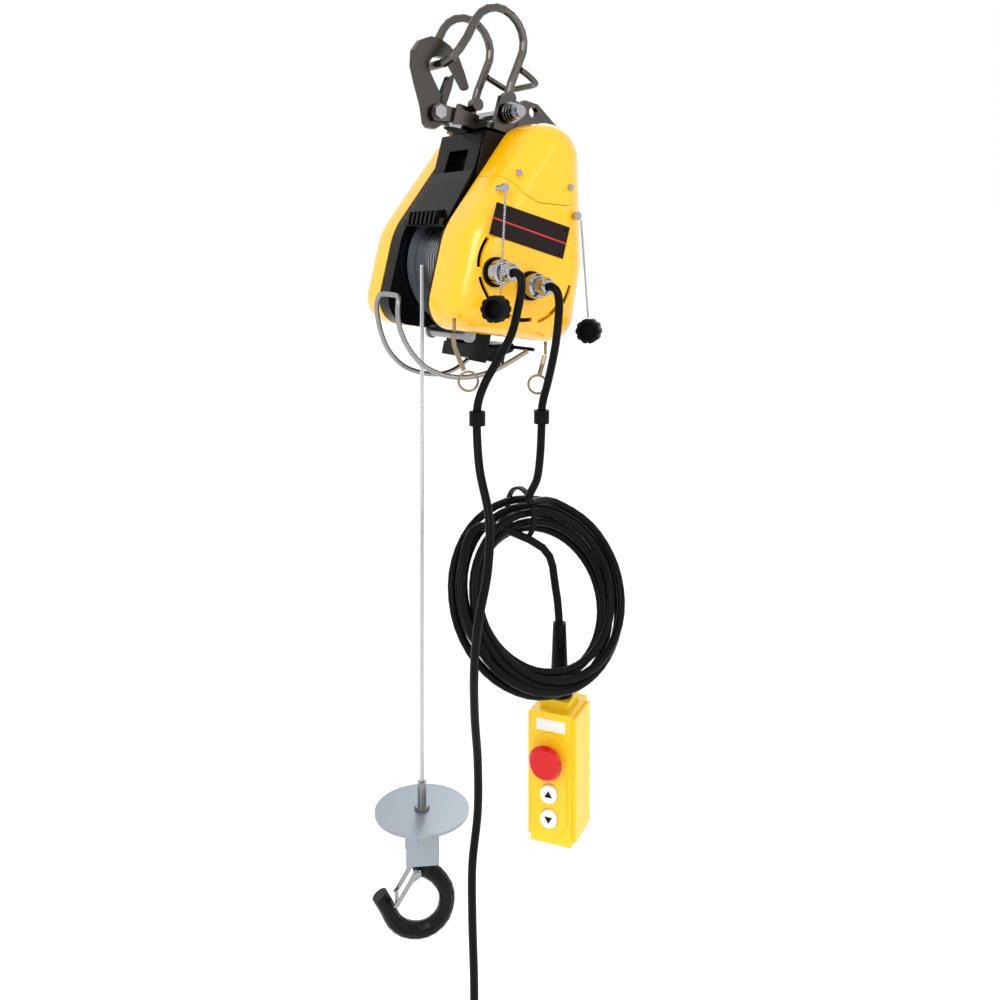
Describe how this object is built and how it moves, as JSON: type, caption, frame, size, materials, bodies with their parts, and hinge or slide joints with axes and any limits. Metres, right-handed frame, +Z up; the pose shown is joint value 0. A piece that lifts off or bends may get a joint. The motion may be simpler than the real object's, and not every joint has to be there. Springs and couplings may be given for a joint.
{
  "type": "suspended wire rope hoist",
  "caption": "Suspended electric wire rope hoist with a tube hanger, safety hooks, limit lever and hand pendant, for lifting light loads from a scaffold tube",
  "frame": {"origin": "on the axis of the scaffold tube that the hanger arches sit on", "axes": "+X along the drum axis towards the cable sockets, -Y to the front where the rope hangs, +Z up"},
  "size_m": [0.264, 0.2267, 1.2324],
  "materials": {
    "frame_plate_far": "gloss",
    "frame_plate_near": "gloss",
    "neck_block": "gloss",
    "drum_shroud": "gloss",
    "rope_guide_bar": "satin",
    "limit_switch_box": "gloss",
    "hanger_bracket": "gloss",
    "ear_plate": "gloss",
    "swivel_nut": "satin",
    "hook_clevis": "gloss",
    "hinge_bolt": "satin",
    "arch_rod": "gloss",
    "carry_handle": "gloss",
    "flat_hook": "gloss",
    "hook_bolt": "satin",
    "hook_latch": "satin",
    "far_cover": "gloss",
    "near_cover": "gloss",
    "near_top_cover": "gloss",
    "cover_screw": "satin",
    "nameplate": "satin",
    "motor_stator": "satin",
    "motor_rotor": "satin",
    "lay_gear": "satin",
    "gear_case": "satin",
    "brake_unit": "satin",
    "drum": "satin",
    "rope_winding": "satin",
    "drum_bearing": "satin",
    "load_rope": "satin",
    "rope_ferrule": "satin",
    "striker_disc": "satin",
    "hook_bracket": "satin",
    "swivel_pin": "satin",
    "load_hook": "gloss",
    "load_latch": "satin",
    "limit_lever": "satin",
    "socket_flange": "satin",
    "coupling_nut_power": "gloss",
    "coupling_nut_control": "gloss",
    "cable_gland": "gloss",
    "chain_screw": "satin",
    "dust_cap_power": "satin",
    "dust_cap_control": "satin",
    "bead_chain_power": "satin",
    "bead_chain_control": "satin",
    "eye_bolt": "satin",
    "snap_hook": "satin",
    "cable_clamp": "gloss",
    "power_cable": "gloss",
    "power_plug": "gloss",
    "control_cable": "gloss",
    "cable_coil": "gloss",
    "cable_tie": "satin",
    "pendant_boot": "gloss",
    "pendant_housing": "satin",
    "pendant_pad": "satin",
    "stop_head": "gloss",
    "button_up": "gloss",
    "button_down": "gloss"
  },
  "bodies": {
    "hoist_frame": {"frame_plate_far": "frame_plate_far", "frame_plate_near": "frame_plate_near", "neck_block": "neck_block", "drum_shroud": "drum_shroud", "rope_guide_bar": "rope_guide_bar", "limit_switch_box": "limit_switch_box", "hanger_bracket": "hanger_bracket", "ear_plate": "ear_plate", "swivel_nut": "swivel_nut", "hook_clevis": "hook_clevis", "hinge_bolt": "hinge_bolt", "arch_rod": "arch_rod", "carry_handle": "carry_handle", "hook_bolt": "hook_bolt", "far_cover": "far_cover", "near_cover": "near_cover", "near_top_cover": "near_top_cover", "cover_screw": "cover_screw", "nameplate": "nameplate", "motor_stator": "motor_stator", "gear_case": "gear_case", "brake_unit": "brake_unit", "drum_bearing": "drum_bearing", "load_rope": "load_rope", "socket_flange": "socket_flange", "cable_gland": "cable_gland", "chain_screw": "chain_screw", "dust_cap_power": "dust_cap_power", "dust_cap_control": "dust_cap_control", "bead_chain_power": "bead_chain_power", "bead_chain_control": "bead_chain_control", "eye_bolt": "eye_bolt", "snap_hook": "snap_hook", "cable_clamp": "cable_clamp", "power_cable": "power_cable", "power_plug": "power_plug", "control_cable": "control_cable", "cable_coil": "cable_coil", "cable_tie": "cable_tie", "pendant_boot": "pendant_boot", "pendant_housing": "pendant_housing", "pendant_pad": "pendant_pad"},
    "hook_plate": {"flat_hook": "flat_hook"},
    "hook_gate": {"hook_latch": "hook_latch"},
    "drum_body": {"drum": "drum", "rope_winding": "rope_winding"},
    "rotor": {"motor_rotor": "motor_rotor"},
    "layshaft": {"lay_gear": "lay_gear"},
    "hook_block": {"rope_ferrule": "rope_ferrule", "striker_disc": "striker_disc"},
    "bracket": {"hook_bracket": "hook_bracket", "swivel_pin": "swivel_pin"},
    "load_hook_body": {"load_hook": "load_hook"},
    "load_gate": {"load_latch": "load_latch"},
    "limit_arm": {"limit_lever": "limit_lever"},
    "nut_power": {"coupling_nut_power": "coupling_nut_power"},
    "nut_control": {"coupling_nut_control": "coupling_nut_control"},
    "stop_body": {"stop_head": "stop_head"},
    "button_up_body": {"button_up": "button_up"},
    "button_down_body": {"button_down": "button_down"}
  },
  "joints": [
    {"name": "hook_swing", "type": "hinge", "parent": "hoist_frame", "child": "hook_plate", "pos_m": [0, -0.05757, -0.076], "axis": [1, 0, 0], "range_deg": [0, 7]},
    {"name": "hook_gate_swing", "type": "hinge", "parent": "hook_plate", "child": "hook_gate", "pos_m": [0, -0.0485, -0.0615], "axis": [1, 0, 0], "range_deg": [0, 14], "stiffness_Nm_per_rad": 0.05},
    {"name": "drum_spin", "type": "hinge", "parent": "hoist_frame", "child": "drum_body", "pos_m": [0, -0.00257, -0.2334], "axis": [-1, 0, 0], "range_deg": [0, 350]},
    {"name": "rotor_spin", "type": "hinge", "parent": "hoist_frame", "child": "rotor", "pos_m": [0, -0.00257, -0.2334], "axis": [-1, 0, 0], "range_deg": [0, 5600]},
    {"name": "lay_spin", "type": "hinge", "parent": "hoist_frame", "child": "layshaft", "pos_m": [0, 0.00755, -0.18956], "axis": [-1, 0, 0], "range_deg": [-1400, 0]},
    {"name": "hook_lift", "type": "slide", "parent": "hoist_frame", "child": "hook_block", "axis": [0, 0, 1], "range_m": [0, 0.3748], "deforming": ["load_rope"]},
    {"name": "bracket_swing", "type": "hinge", "parent": "hook_block", "child": "bracket", "pos_m": [-0.013, -0.06392, -0.803], "axis": [0, 0, 1], "continuous": true},
    {"name": "load_hook_swivel", "type": "hinge", "parent": "bracket", "child": "load_hook_body", "pos_m": [-0.013, -0.06392, -0.845], "axis": [0, 0, 1], "continuous": true},
    {"name": "load_gate_swing", "type": "hinge", "parent": "load_hook_body", "child": "load_gate", "pos_m": [-0.0155, -0.06825, -0.86], "axis": [0.866, -0.5, 0], "range_deg": [0, 35], "stiffness_Nm_per_rad": 0.05},
    {"name": "limit_lift", "type": "hinge", "parent": "hoist_frame", "child": "limit_arm", "pos_m": [0, 0.03, -0.322], "axis": [-1, 0, 0], "range_deg": [0, 8], "stiffness_Nm_per_rad": 1},
    {"name": "power_nut_turn", "type": "hinge", "parent": "hoist_frame", "child": "nut_power", "pos_m": [0.0995, -0.05316, -0.23917], "axis": [1, 0, 0], "continuous": true},
    {"name": "control_nut_turn", "type": "hinge", "parent": "hoist_frame", "child": "nut_control", "pos_m": [0.0995, -0.01022, -0.25319], "axis": [1, 0, 0], "continuous": true},
    {"name": "stop_press", "type": "slide", "parent": "hoist_frame", "child": "stop_body", "axis": [-0.5, 0.866, 0], "range_m": [0, 0.003]},
    {"name": "up_press", "type": "slide", "parent": "hoist_frame", "child": "button_up_body", "axis": [-0.5, 0.866, 0], "range_m": [0, 0.002], "stiffness_N_per_m": 1500},
    {"name": "down_press", "type": "slide", "parent": "hoist_frame", "child": "button_down_body", "axis": [-0.5, 0.866, 0], "range_m": [0, 0.002], "stiffness_N_per_m": 1500}
  ],
  "couplings": [
    {"joint": "rotor_spin", "follows": "drum_spin", "ratio": 16},
    {"joint": "lay_spin", "follows": "drum_spin", "ratio": -4},
    {"joint": "hook_lift", "follows": "drum_spin", "m_per_rad": 0.06135}
  ]
}
